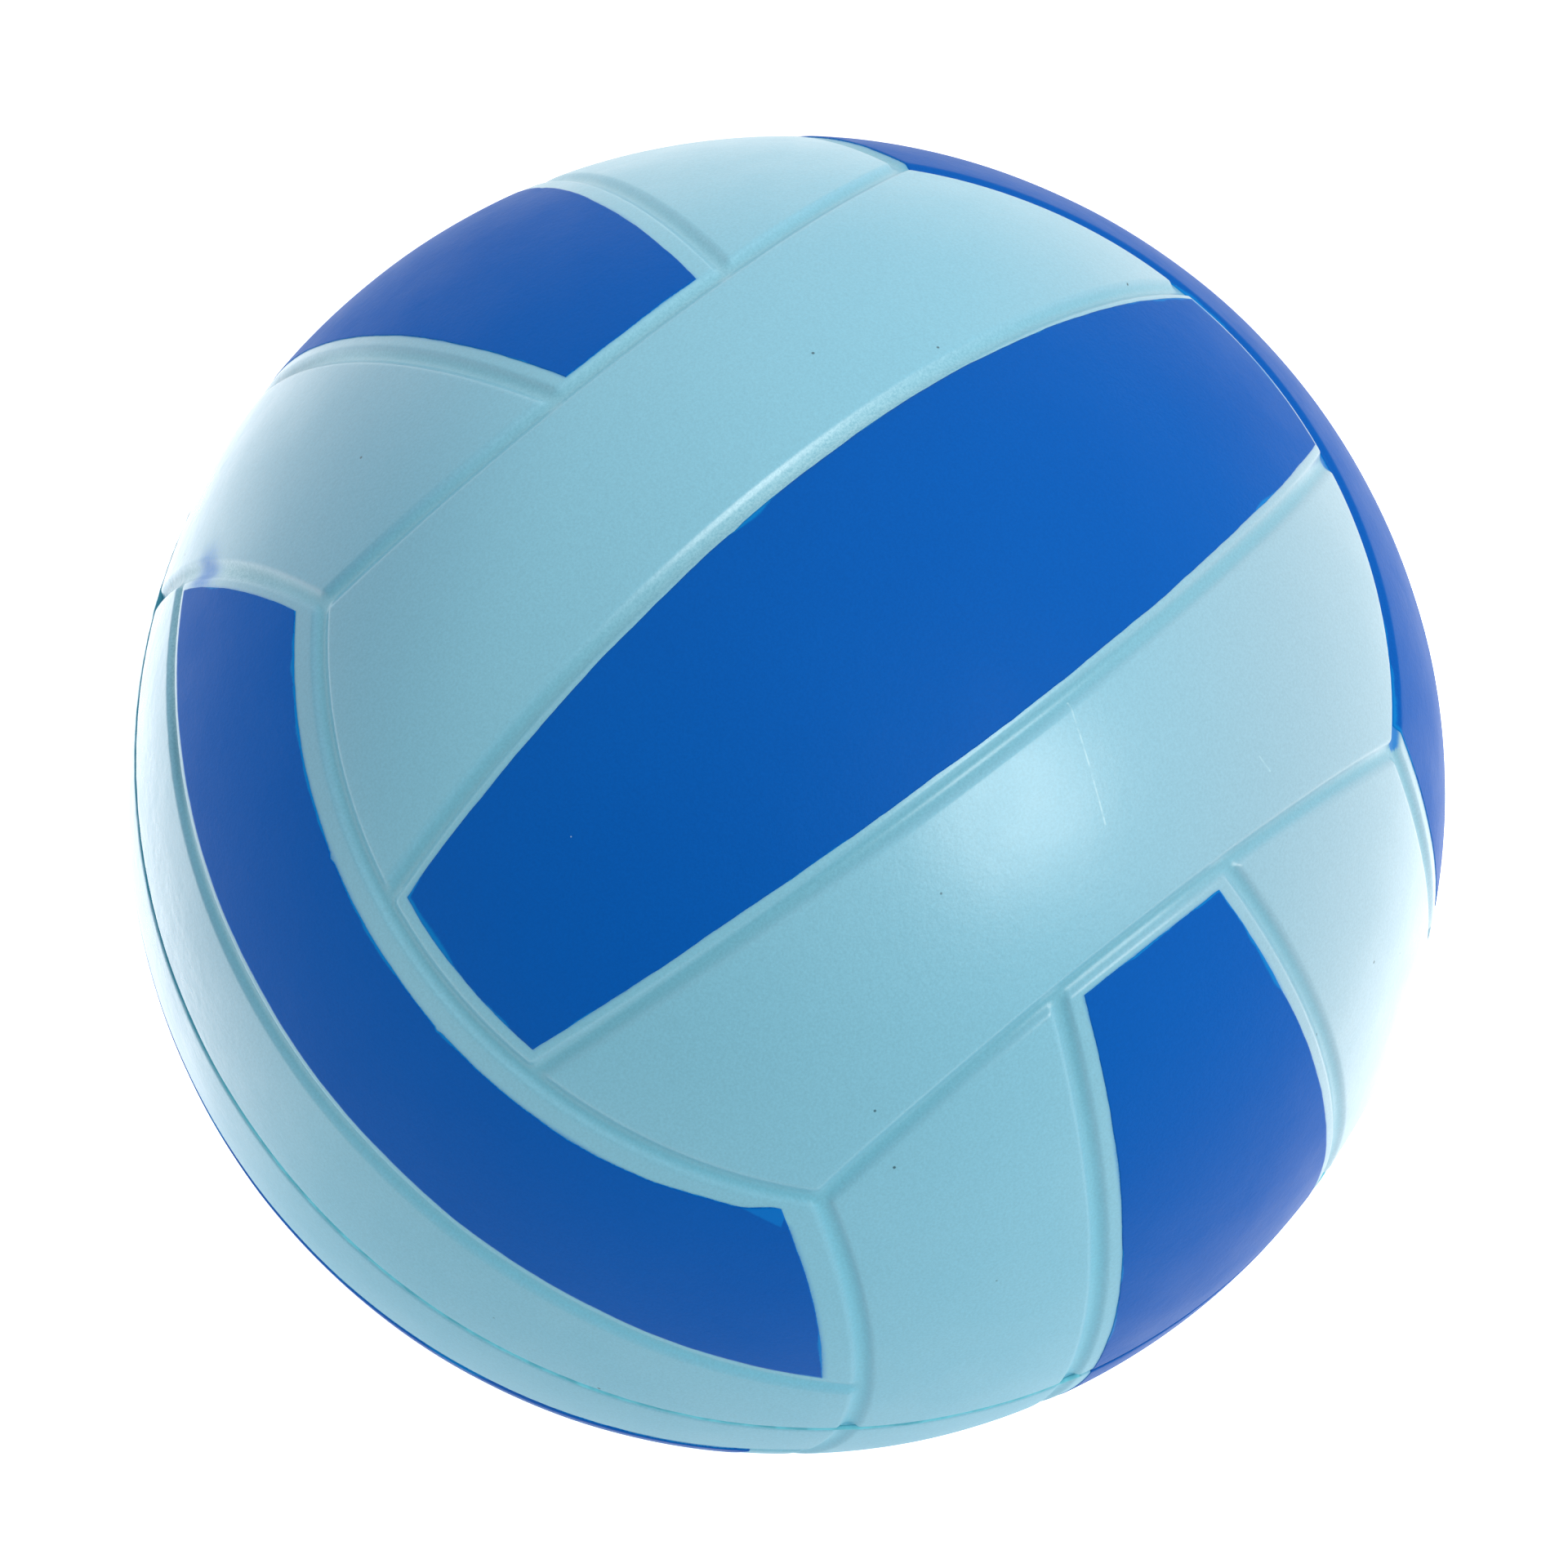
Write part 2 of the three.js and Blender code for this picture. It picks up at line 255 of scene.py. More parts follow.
def both_ways(angle, lean):
    """Lines on both sides of a face from those on its positive side, which start at angle 0."""
    return np.r_[-angle[:0:-1], angle], np.r_[-lean[:0:-1], lean]


def half_way(angle, lean):
    """The lines on the positive side alone, starting beside the parting line's gap."""
    return np.r_[PARTING_HALF_GAP / CROWN_RADIUS, angle[1:]], lean


def grid_quads(rows, columns, flip):
    """Corner numbers of the quads of a grid whose points are stored row by row."""
    start = (np.arange(rows - 1)[:, None] * columns + np.arange(columns - 1)).ravel()
    quads = np.stack([start, start + columns, start + columns + 1, start + 1], -1)
    return quads[:, ::-1] if flip else quads


def face_sheet(face, ends, sides):
    """The points and quads of one face's grid, facing out of the ball."""
    at = crossing((ends[0][:, None], ends[1][:, None]), (sides[0][None], sides[1][None]))
    points = np.stack(FACES[face](at[..., 0], at[..., 1], at[..., 2]), -1).reshape(-1, 3)
    return points, grid_quads(len(ends[0]), len(sides[0]), face in TURNED_OVER)


def joined(sheets):
    """Several sheets as one list of points and one of quads."""
    starts = np.cumsum([0] + [len(points) for points, _ in sheets])
    quads = [faces + start for (_, faces), start in zip(sheets, starts)]
    return np.concatenate([points for points, _ in sheets]), np.concatenate(quads)


def welded(points, quads):
    """The same surface with the points that two sheets share made one."""
    mesh = bpy.data.meshes.new("weld")
    mesh.from_pydata(points.tolist(), [], quads.tolist())
    form = bmesh.new()
    form.from_mesh(mesh)
    bmesh.ops.remove_doubles(form, verts=form.verts, dist=1e-6)
    form.to_mesh(mesh)
    form.free()
    places = np.array([vertex.co for vertex in mesh.vertices], float)
    corners = [tuple(polygon.vertices) for polygon in mesh.polygons]
    bpy.data.meshes.remove(mesh)
    return places, corners


def solid_object(name, points, faces, attributes):
    """An object from points, faces and per-point numbers, shaded smooth."""
    mesh = bpy.data.meshes.new(name)
    mesh.from_pydata(np.asarray(points).tolist(), [], [tuple(map(int, face)) for face in faces])
    for label, values in attributes.items():
        mesh.attributes.new(label, "FLOAT", "POINT").data.foreach_set("value", values)
    mesh.polygons.foreach_set("use_smooth", [True] * len(mesh.polygons))
    made = bpy.data.objects.new(name, mesh)
    bpy.context.scene.collection.objects.link(made)
    return made


# --- Node trees ---------------------------------------------------------------------------------

class Graph:
    """Adds nodes to a tree. An input is a value or another node's output socket."""

    def __init__(self, tree):
        self.tree = tree

    def feed(self, node, inputs):
        """Gives a node its inputs: links the sockets, and sets the values on its own sockets."""
        for key, value in inputs.items():
            if isinstance(value, bpy.types.NodeSocket):
                self.tree.links.new(value, node.inputs[key])
            else:
                node.inputs[key].default_value = value

    def node(self, kind, inputs=None, **settings):
        made = self.tree.nodes.new(kind)
        for name, value in settings.items():
            setattr(made, name, value)
        self.feed(made, inputs or {})
        return made

    def first(self, kind, inputs=None, **settings):
        """The first output of a new node."""
        return self.node(kind, inputs, **settings).outputs[0]

    def math(self, operation, *values, clamp=False):
        given = dict(enumerate(values))
        return self.first("ShaderNodeMath", given, operation=operation, use_clamp=clamp)

    def plus(self, one, other):
        return self.math("ADD", one, other)

    def minus(self, one, other, clamp=False):
        return self.math("SUBTRACT", one, other, clamp=clamp)

    def times(self, one, other):
        return self.math("MULTIPLY", one, other)

    def vector_math(self, operation, *values, output="Vector"):
        given = dict(enumerate(values))
        return self.node("ShaderNodeVectorMath", given, operation=operation).outputs[output]

    def scaled(self, vector, amount):
        given = {0: vector, "Scale": amount}
        return self.first("ShaderNodeVectorMath", given, operation="SCALE")

    def noise(self, vector, length, detail=2.0, roughness=0.5):
        """Noise from 0 to 1 whose features are about one length across."""
        given = {"Vector": vector, "Scale": 1 / length, "Detail": detail, "Roughness": roughness}
        return self.first("ShaderNodeTexNoise", given)

    def ramp(self, value, low, high, out_low=0.0, out_high=1.0):
        given = {0: value, 1: low, 2: high, 3: out_low, 4: out_high}
        return self.first("ShaderNodeMapRange", given, interpolation_type="SMOOTHSTEP")


def geometry_tree(name, sizes):
    """An empty Geometry Nodes tree with a geometry input, named sizes and a material."""
    tree = bpy.data.node_groups.new(name, "GeometryNodeTree")
    tree.interface.new_socket("Geometry", in_out="INPUT", socket_type="NodeSocketGeometry")
    for label, value in sizes.items():
        socket = tree.interface.new_socket(label, in_out="INPUT", socket_type="NodeSocketFloat")
        socket.default_value = value
    tree.interface.new_socket("Material", in_out="INPUT", socket_type="NodeSocketMaterial")
    tree.interface.new_socket("Geometry", in_out="OUTPUT", socket_type="NodeSocketGeometry")
    graph = Graph(tree)
    return graph, graph.node("NodeGroupInput").outputs


def finish_tree(graph, geometry, given):
    """Ends a tree in Realize Instances and Set Material."""
    real = graph.first("GeometryNodeRealizeInstances", {0: geometry})
    inputs = {"Geometry": real, "Material": given["Material"]}
    graph.node("NodeGroupOutput", {0: graph.first("GeometryNodeSetMaterial", inputs)})
    return graph.tree


def trough_group():
    """The section of a groove: its depth as a share, at a distance from its middle. A parabola
    whose shoulders are eased by the softness."""
    tree = bpy.data.node_groups.new("groove_section", "GeometryNodeTree")
    for label in ("Distance", "Half Width", "Softness"):
        tree.interface.new_socket(label, in_out="INPUT", socket_type="NodeSocketFloat")
    tree.interface.new_socket("Share", in_out="OUTPUT", socket_type="NodeSocketFloat")
    graph = Graph(tree)
    given = graph.node("NodeGroupInput").outputs
    out = graph.math("DIVIDE", given["Distance"], given["Half Width"])
    bowl = graph.minus(1.0, graph.times(out, out))
    eased = graph.math("POWER", given["Softness"], 2.0)
    root = graph.math("SQRT", graph.plus(graph.times(bowl, bowl), eased))
    graph.node("NodeGroupOutput", {0: graph.times(graph.plus(bowl, root), 0.5)})
    return tree


def relief_tree():
    """Shapes anything that lies on the ball: it sinks the grooves of the seam net and the lips of
    the parting line into it, and gives it the slow waves of hand-finished tooling. Each point
    carries its height over the crown and whether the mould shaped it."""
    sizes = {
        "Crown Radius": CROWN_RADIUS,
        "Edge Height": EDGE_HEIGHT,
        "Strip Angle": STRIP_ANGLE,
        "Strip Lean": STRIP_LEAN,
        "Groove Depth": GROOVE_DEPTH,
        "Groove Half Width": GROOVE_HALF_WIDTH,
        "Groove Shoulder": GROOVE_SHOULDER,
        "Lip Depth": LIP_DEPTH,
        "Lip Half Width": LIP_HALF_WIDTH,
        "Lip Shoulder": LIP_SHOULDER,
        "Wave Depth": WAVE_DEPTH,
        "Waves Per Metre": 1 / WAVE_LENGTH,
    }
    graph, given = geometry_tree("moulded_relief", sizes)
    section = trough_group()
    radius, edge = given["Crown Radius"], given["Edge Height"]

    def share(distance, width, softness):
        inputs = {0: distance, 1: given[width], 2: given[softness]}
        return graph.first("GeometryNodeGroup", inputs, node_tree=section)

    def both(one, other):
        return graph.first("FunctionNodeBooleanMath", {0: one, 1: other}, operation="AND")

    def compare(operation, one, other):
        return graph.first("FunctionNodeCompare", {0: one, 1: other}, operation=operation)

    def choose(switch, no, yes):
        inputs = {0: switch, 1: no, 2: yes}
        return graph.first("GeometryNodeSwitch", inputs, input_type="VECTOR")

    def stored(label):
        return graph.first("GeometryNodeInputNamedAttribute", {"Name": label})

    place = graph.first("GeometryNodeInputPosition")
    unit = graph.vector_math("NORMALIZE", place)
    size = graph.node("ShaderNodeSeparateXYZ", {0: graph.vector_math("ABSOLUTE", unit)}).outputs
    x, y, z = size[0], size[1], size[2]

    def axes(s, t, w):
        return graph.first("ShaderNodeCombineXYZ", {0: s, 1: t, 2: w})

    on_front = both(compare("GREATER_EQUAL", z, edge), compare("LESS_EQUAL", y, edge))
    on_right = both(compare("GREATER_EQUAL", x, edge), compare("LESS_EQUAL", z, edge))
    own = choose(on_front, choose(on_right, axes(z, x, y), axes(y, z, x)), axes(x, y, z))
    across, outward = graph.node("ShaderNodeSeparateXYZ", {0: own}).outputs[1:3]

    edge_angle = graph.math("ARCSINE", edge)
    to_side = graph.minus(edge_angle, graph.math("ARCSINE", across))
    to_end = graph.minus(graph.math("ARCSINE", outward), edge_angle)
    lean = given["Strip Lean"]
    tilted = graph.minus(
        graph.times(across, graph.math("COSINE", lean)),
        graph.times(outward, graph.math("SINE", lean)),
    )
    strip_place = graph.minus(given["Strip Angle"], lean)
    to_strip = graph.minus(graph.math("ARCSINE", tilted), strip_place)

    left_over = 1.0
    for angle in (to_side, to_end, to_strip):
        sunk = share(graph.times(angle, radius), "Groove Half Width", "Groove Shoulder")
        left_over = graph.times(left_over, graph.minus(1.0, sunk))
    groove = graph.minus(1.0, left_over)
    lip = share(graph.times(z, radius), "Lip Half Width", "Lip Shoulder")

    moulded = stored("moulded")
    groove = graph.times(groove, moulded)
    lip = graph.times(lip, moulded)
    inputs = {"Vector": place, "Scale": given["Waves Per Metre"], "Detail": 1.5, "Roughness": 0.4}
    waves = graph.first("ShaderNodeTexNoise", inputs)
    wave = graph.times(graph.minus(waves, 0.5), given["Wave Depth"])
    height = graph.plus(radius, stored("height"))
    height = graph.plus(height, graph.times(wave, 2.0))
    height = graph.minus(height, graph.times(groove, given["Groove Depth"]))
    height = graph.minus(height, graph.times(lip, given["Lip Depth"]))
    inputs = {"Geometry": given["Geometry"], "Position": graph.scaled(unit, height)}
    shaped = graph.first("GeometryNodeSetPosition", inputs)
    for label, value in (("groove", groove), ("crease", lip)):
        inputs = {"Geometry": shaped, "Name": label, "Value": value}
        kind = "GeometryNodeStoreNamedAttribute"
        shaped = graph.first(kind, inputs, data_type="FLOAT", domain="POINT")
    return finish_tree(graph, shaped, given)


def web_tree():
    """A thin web on a circle: a ring of foam whose outer edge is torn."""
    sizes = {
        "Web Radius": WEB_RADIUS,
        "Covered Reach": COVERED_REACH,
        "Covered Depth": 0.3 * MM,
        "Half Height": 0.12 * MM,
        "Half Thickness": 0.075 * MM,
        "Tear": 0.08 * MM,
        "Tears Per Metre": 1 / (0.9 * MM),
        "Wander": 0.03 * MM,
        "Wanders Per Metre": 1 / (7 * MM),
    }
    graph, given = geometry_tree("torn_web", sizes)
    radius = given["Web Radius"]
    path = graph.node("GeometryNodeCurvePrimitiveCircle", {"Resolution": WEB_STEPS, "Radius": radius})
    bead = graph.node("GeometryNodeCurvePrimitiveCircle", {"Resolution": BEAD_SIDES, "Radius": MM})
    tube = graph.node("GeometryNodeCurveToMesh", {0: path.outputs[0], 1: bead.outputs[0]})
    place = graph.first("GeometryNodeInputPosition")
    x, y, z = graph.node("ShaderNodeSeparateXYZ", {0: place}).outputs
    flat = graph.first("ShaderNodeCombineXYZ", {0: x, 1: y})
    reach = graph.vector_math("LENGTH", flat, output="Value")
    outward = graph.vector_math("NORMALIZE", flat)
    rise = graph.math("DIVIDE", graph.minus(reach, radius), MM)
    on_path = graph.scaled(outward, radius)

    def noise(rate, detail):
        inputs = {"Vector": on_path, "Scale": given[rate], "Detail": detail}
        level = graph.first("ShaderNodeTexNoise", inputs)
        return graph.times(graph.minus(level, 0.5), 2.0)

    outer = graph.math("MAXIMUM", rise, 0.0)
    torn = graph.times(outer, noise("Tears Per Metre", 3.0))
    height = graph.times(rise, given["Half Height"])
    height = graph.plus(height, graph.times(torn, given["Tear"]))
    beyond = graph.minus(graph.math("ABSOLUTE", x), given["Covered Reach"])
    covered = graph.math("GREATER_THAN", 0.0, beyond)
    trimmed = graph.times(outer, given["Covered Depth"])
    height = graph.minus(height, graph.times(covered, trimmed))
    level = graph.times(graph.math("DIVIDE", z, MM), given["Half Thickness"])
    bent = graph.times(noise("Wanders Per Metre", 2.0), given["Wander"])
    level = graph.plus(level, graph.times(bent, outer))
    lifted = graph.first("ShaderNodeCombineXYZ", {2: level})
    moved = graph.vector_math("ADD", graph.scaled(outward, graph.plus(radius, height)), lifted)
    shaped = graph.node("GeometryNodeSetPosition", {0: tube.outputs[0], "Position": moved})
    return finish_tree(graph, shaped.outputs[0], given)


def cell_tree():
    """Pits the skin of a lump of foam with open cells of many sizes."""
    sizes = {"Pit Depth": 0.3 * MM, "Cells Per Metre": 1 / (1.6 * MM)}
    graph, given = geometry_tree("open_cells", sizes)
    place = graph.first("GeometryNodeInputPosition")
    inputs = {"Vector": place, "Scale": given["Cells Per Metre"]}
    cell = graph.node("ShaderNodeTexVoronoi", inputs, feature="SMOOTH_F1").outputs["Distance"]
    pit = graph.minus(graph.math("MINIMUM", cell, 1.0), 1.0)
    outward = graph.vector_math("NORMALIZE", place)
    offset = graph.scaled(outward, graph.times(pit, given["Pit Depth"]))
    shaped = graph.node("GeometryNodeSetPosition", {0: given["Geometry"], "Offset": offset})
    return finish_tree(graph, shaped.outputs[0], given)


def grown(obj, tree, material):
    """Runs a Geometry Nodes tree on an object and keeps the result as its plain mesh."""
    modifier = obj.modifiers.new(tree.name, "NODES")
    modifier.node_group = tree
    for item in tree.interface.items_tree:
        if item.name == "Material":
            modifier[item.identifier] = material
    graph = bpy.context.evaluated_depsgraph_get()
    mesh = bpy.data.meshes.new_from_object(
        obj.evaluated_get(graph), preserve_all_data_layers=True, depsgraph=graph
    )
    obj.modifiers.remove(modifier)
    old = obj.data
    obj.data = mesh
    mesh.name = obj.name
    bpy.data.meshes.remove(old)
    mesh.polygons.foreach_set("use_smooth", [True] * len(mesh.polygons))
    return obj


# --- Materials ----------------------------------------------------------------------------------

SKIN_BLUE = (0.19, 0.470, 0.61, 1)
SKIN_BLUE_COOL = (0.168, 0.450, 0.595, 1)
SKIN_PAINTED_SHEEN = (0.255, 0.445, 0.555, 1)
SKIN_SHADED_SIDE = (0.115, 0.335, 0.475, 1)
# Painted shade: the next three colours stand for the shade in the grooves and in the parting line's
# crease.
SKIN_GROOVE_SHADE = (0.11, 0.385, 0.51, 1)
SKIN_CREASE_SHADE = (0.015, 0.18, 0.28, 1)
SKIN_CREASE_BRIGHT = (0.13, 0.47, 0.62, 1)
SKIN_SCUFF = (0.46, 0.72, 0.80, 1)
SPECK_DARK = (0.02, 0.10, 0.14, 1)
PAINT_BLUE = (0.0, 0.095, 0.42, 1)
PAINT_BLUE_DEEP = (0.0, 0.087, 0.397, 1)
PAINT_CREASE_SHADE = (0.0, 0.035, 0.17, 1)
PAINT_THIN = (0.0, 0.18, 0.53, 1)
PAINT_CREPT = (0.0, 0.145, 0.52, 1)
FLASH_SHADE_TEAL = (0.015, 0.20, 0.30, 1)
FLASH_BRIGHT = (0.15, 0.58, 0.70, 1)
FOAM_CREAM = (0.81, 0.74, 0.54, 1)
FOAM_SHADE = (0.66, 0.57, 0.38, 1)

# Sides of the ball whose coat differs: the way to each from the centre, and how far that way the
# difference starts and is full, as shares of the radius. On the side away from the key light the
# darker colour is painted shade, and so is the darkening of the grooves near its rim; that side is
# also glossier. On the side towards the key light the paler colour is a painted sheen. On the rough
# side the grooves take a paler painted shade.
GLOSSY_SHADED_SIDE = ((-0.55, 0.83, 0.0), 0.5, 0.85)
SHADED_RIM_SIDE = ((-0.55, 0.83, 0.0), 0.84, 0.92)
DRY_SIDE = ((-0.57, -0.76, -0.30), 0.3, 0.75)
PAINTED_SHEEN_SIDE = ((0.80, -0.56, 0.22), 0.3, 0.85)

# Textures of the sprayed coats: how long their speckle, grain and ripples are, and how deep.
SPECKLE = 0.13 * MM
GRAIN = 0.19 * MM
RIPPLE = 0.7 * MM
GRAIN_DEPTH = 0.012 * MM
WRINKLE_DEPTH = 0.09 * MM
SCRATCH_DEPTH = 0.01 * MM

# Specks: how far apart they are, their radius, and the share that is left out.
SKIN_SPECKS = (2.4 * MM, 0.09 * MM, 0.75)
PAINT_SPECKS = (2.6 * MM, 0.06 * MM, 0.82)


def new_material(name):
    """A node material with its shader, and the place on the object that patterns read."""
    material = bpy.data.materials.new(name)
    material.use_nodes = True
    graph = Graph(material.node_tree)
    shader = material.node_tree.nodes["Principled BSDF"]
    place = graph.node("ShaderNodeTexCoord").outputs["Object"]
    return material, graph, shader, place


def mixed(graph, share, first, second):
    inputs = {0: share, 6: first, 7: second}
    return graph.node("ShaderNodeMix", inputs, data_type="RGBA").outputs[2]


def attribute(graph, name):
    return graph.node("ShaderNodeAttribute", attribute_name=name).outputs["Fac"]


def bumped(graph, height, distance, strength, below=None):
    inputs = {"Height": height, "Distance": distance, "Strength": strength}
    if below is not None:
        inputs["Normal"] = below
    return graph.first("ShaderNodeBump", inputs)


def near_line(graph, place, start, stop):
    """How far a point of the ball is from the arc between two of its points, what share of the
    arc is behind it, and 1 where that share is from 0 to 1."""
    first, last = Vector(start).normalized(), Vector(stop).normalized()
    across = first.cross(last).normalized()
    along = last - first
    gap = graph.vector_math("DOT_PRODUCT", place, tuple(across), output="Value")
    reach = graph.vector_math("DOT_PRODUCT", place, tuple(along), output="Value")
    start_reach = first.dot(along) * CROWN_RADIUS
    span = along.length_squared * CROWN_RADIUS
    share = graph.math("DIVIDE", graph.minus(reach, start_reach), span)
    off_middle = graph.math("ABSOLUTE", graph.minus(share, 0.5))
    beside = graph.math("LESS_THAN", off_middle, 0.5)
    same_side = graph.math(
        "GREATER_THAN", graph.vector_math("DOT_PRODUCT", place, tuple(first), output="Value"), 0.0
    )
    return graph.math("ABSOLUTE", gap), share, graph.times(beside, same_side)


def specks(graph, place, spacing, radius, kept):
    """1 on sparse round specks. kept is the share of the cells whose speck is left out."""
    inputs = {"Vector": place, "Scale": 1 / spacing}
    cells = graph.node("ShaderNodeTexVoronoi", inputs).outputs
    spot = graph.ramp(cells["Distance"], 0.5 * radius / spacing, 1.2 * radius / spacing, 1.0, 0.0)
    chance = graph.first("ShaderNodeSeparateXYZ", {0: cells["Color"]})
    return graph.times(spot, graph.math("GREATER_THAN", chance, kept))


def toward(graph, place, side):
    """From 0 to 1 over the part of the ball that lies towards one of its sides."""
    direction, start, full = side
    reach = graph.vector_math("DOT_PRODUCT", place, direction, output="Value")
    return graph.ramp(reach, start * CROWN_RADIUS, full * CROWN_RADIUS)


def fine_grain(graph, place, below=None):
    """The pebbled surface that a sprayed coat takes: small grains over slower ripples."""
    grain = graph.noise(place, GRAIN, 2.0, 0.6)
    height = graph.plus(grain, graph.times(graph.noise(place, RIPPLE, 2.0, 0.5), 1.5))
    return bumped(graph, height, GRAIN_DEPTH, 1.0, below)


def uneven_roughness(graph, place, low, high):
    return graph.ramp(graph.noise(place, 3 * MM, 3.0), 0.2, 0.8, low, high)


def skin_material():
    material, graph, shader, place = new_material("soft_touch_skin")
    gloss_and_shade, dry = toward(graph, place, GLOSSY_SHADED_SIDE), toward(graph, place, DRY_SIDE)
    groove, dust = attribute(graph, "groove"), attribute(graph, "dust")
    blue = mixed(graph, graph.noise(place, 12 * MM), SKIN_BLUE, SKIN_BLUE_COOL)
    # Painted sheen: the side towards the key light is paler and greyer.
    blue = mixed(graph, toward(graph, place, PAINTED_SHEEN_SIDE), blue, SKIN_PAINTED_SHEEN)
    # Painted shade: the side away from the key light is darker.
    blue = mixed(graph, gloss_and_shade, blue, SKIN_SHADED_SIDE)

    # Painted shade in the grooves: a darker teal, paler and cyan on the rough side, and darkest near
    # the rim of the shaded side where no dust lies.
    clean = graph.minus(1.0, dust, clamp=True)
    rim_shade = graph.times(toward(graph, place, SHADED_RIM_SIDE), clean)
    groove_shade = mixed(graph, dry, SKIN_GROOVE_SHADE, SKIN_CREASE_BRIGHT)
    groove_shade = mixed(graph, rim_shade, groove_shade, SKIN_CREASE_SHADE)
    sunk = graph.ramp(groove, 0.1, 1.0)
    groove_shading = graph.times(sunk, graph.ramp(rim_shade, 0.0, 1.0, 0.6, 0.95))
    blue = mixed(graph, groove_shading, blue, groove_shade)

    # The spray is faintly speckled, and settled dry in patches of the grooves.
    speckle = graph.noise(place, SPECKLE, 3.0, 0.7)
    blue = graph.scaled(blue, graph.ramp(speckle, 0.25, 0.75, 0.93, 1.07))
    dusty = graph.times(graph.ramp(groove, 0.0, 0.35), graph.ramp(speckle, 0.3, 0.7, 0.3))
    dusty = graph.times(graph.times(dusty, dust), 0.6)
    blue = mixed(graph, dusty, blue, SKIN_SCUFF)
    # Painted shade in the parting line's crease: dark teal on the shaded side, cyan elsewhere.
    crease = graph.ramp(attribute(graph, "crease"), 0.15, 0.7, 0.0, 0.9)
    blue = mixed(graph, crease, blue, mixed(graph, gloss_and_shade, SKIN_CREASE_BRIGHT, SKIN_CREASE_SHADE))

    # Stray paint lies on it in fine drops.
    mist = attribute(graph, "mist")
    cover = graph.plus(mist, graph.times(graph.minus(speckle, 0.5), 0.6))
    cover = graph.times(graph.ramp(cover, 0.1, 0.9), graph.ramp(mist, 0.0, 0.1))
    blue = mixed(graph, cover, blue, PAINT_THIN)

    scuff = 0.0
    for start, stop in SCRATCHES:
        gap, _, beside = near_line(graph, place, start, stop)
        line = graph.times(graph.ramp(gap, 0.02 * MM, 0.07 * MM, 1.0, 0.0), beside)
        scuff = graph.math("MAXIMUM", scuff, line)
    broken = graph.ramp(graph.noise(place, 0.5 * MM, 2.0), 0.35, 0.65, 0.05, 0.5)
    scuff = graph.times(scuff, broken)
    blue = mixed(graph, scuff, blue, SKIN_SCUFF)
    blue = mixed(graph, specks(graph, place, *SKIN_SPECKS), blue, SPECK_DARK)

    # The glossy side is wrinkled near the parting line, and the dry side is rough.
    level = graph.node("ShaderNodeSeparateXYZ", {0: place}).outputs[2]
    beside_line = graph.ramp(graph.math("ABSOLUTE", level), 2 * MM, 9 * MM, 1.0, 0.0)
    beside_line = graph.times(beside_line, gloss_and_shade)
    rough = graph.plus(uneven_roughness(graph, place, 0.35, 0.43), graph.times(dry, 0.27))
    wrinkled = graph.times(graph.noise(place, 1.3 * MM, 2.0, 0.6), beside_line)
    normal = bumped(graph, wrinkled, WRINKLE_DEPTH, 1.0)
    normal = bumped(graph, scuff, SCRATCH_DEPTH, 1.0, normal)
    gloss = graph.plus(graph.ramp(dry, 0.0, 1.0, 0.45, 0.1), graph.times(gloss_and_shade, 0.15))
    dull = graph.math("MAXIMUM", cover, graph.times(sunk, rim_shade))
    graph.feed(shader, {
        "Base Color": blue,
        "Roughness": graph.minus(rough, graph.times(beside_line, 0.12)),
        "Normal": fine_grain(graph, place, normal),
        "Coat Weight": graph.times(gloss, graph.minus(1.0, dull)),
        "Coat Roughness": 0.25,
    })
    return material


def paint_material():
    material, graph, shader, place = new_material("masked_blue_paint")
    blue = mixed(graph, graph.noise(place, 9 * MM), PAINT_BLUE, PAINT_BLUE_DEEP)
    speckle = graph.minus(graph.noise(place, SPECKLE, 3.0, 0.7), 0.5)
    blue = graph.scaled(blue, graph.ramp(speckle, -0.25, 0.25, 0.95, 1.05))

    # The coat is thin at its edge, over a width that wanders, and where it crept.
    feather = graph.ramp(graph.noise(place, 7 * MM, 4.0), 0.54, 0.72, 0.01 * MM, 0.4 * MM)
    inward = graph.plus(attribute(graph, "edge"), graph.times(speckle, 0.15 * MM))
    thin = graph.minus(1.0, graph.math("DIVIDE", inward, feather), clamp=True)
    blue = mixed(graph, graph.ramp(thin, 0.0, 0.6), blue, PAINT_THIN)
    start, stop, height = BLEED
    gap, share, beside = near_line(graph, place, start, stop)
    past = graph.minus(gap, graph.times(graph.minus(1.0, share), height))
    past = graph.plus(past, graph.times(speckle, 0.12 * MM))
    crept = graph.times(graph.ramp(past, -0.06 * MM, 0.06 * MM, 1.0, 0.0), beside)
    blue = mixed(graph, crept, blue, PAINT_CREPT)
    # Painted shade: the coat is darker along the parting line's crease.
    crease = graph.ramp(attribute(graph, "crease"), 0.15, 0.8, 0.0, 0.85)
    blue = mixed(graph, crease, blue, PAINT_CREASE_SHADE)
    graph.feed(shader, {
        "Base Color": mixed(graph, specks(graph, place, *PAINT_SPECKS), blue, SKIN_SCUFF),
        "Roughness": uneven_roughness(graph, place, 0.46, 0.54),
        "Normal": fine_grain(graph, place),
        "Specular IOR Level": 0.06,
        "Sheen Weight": 0.05,
        "Sheen Roughness": 0.16,
    })
    return material


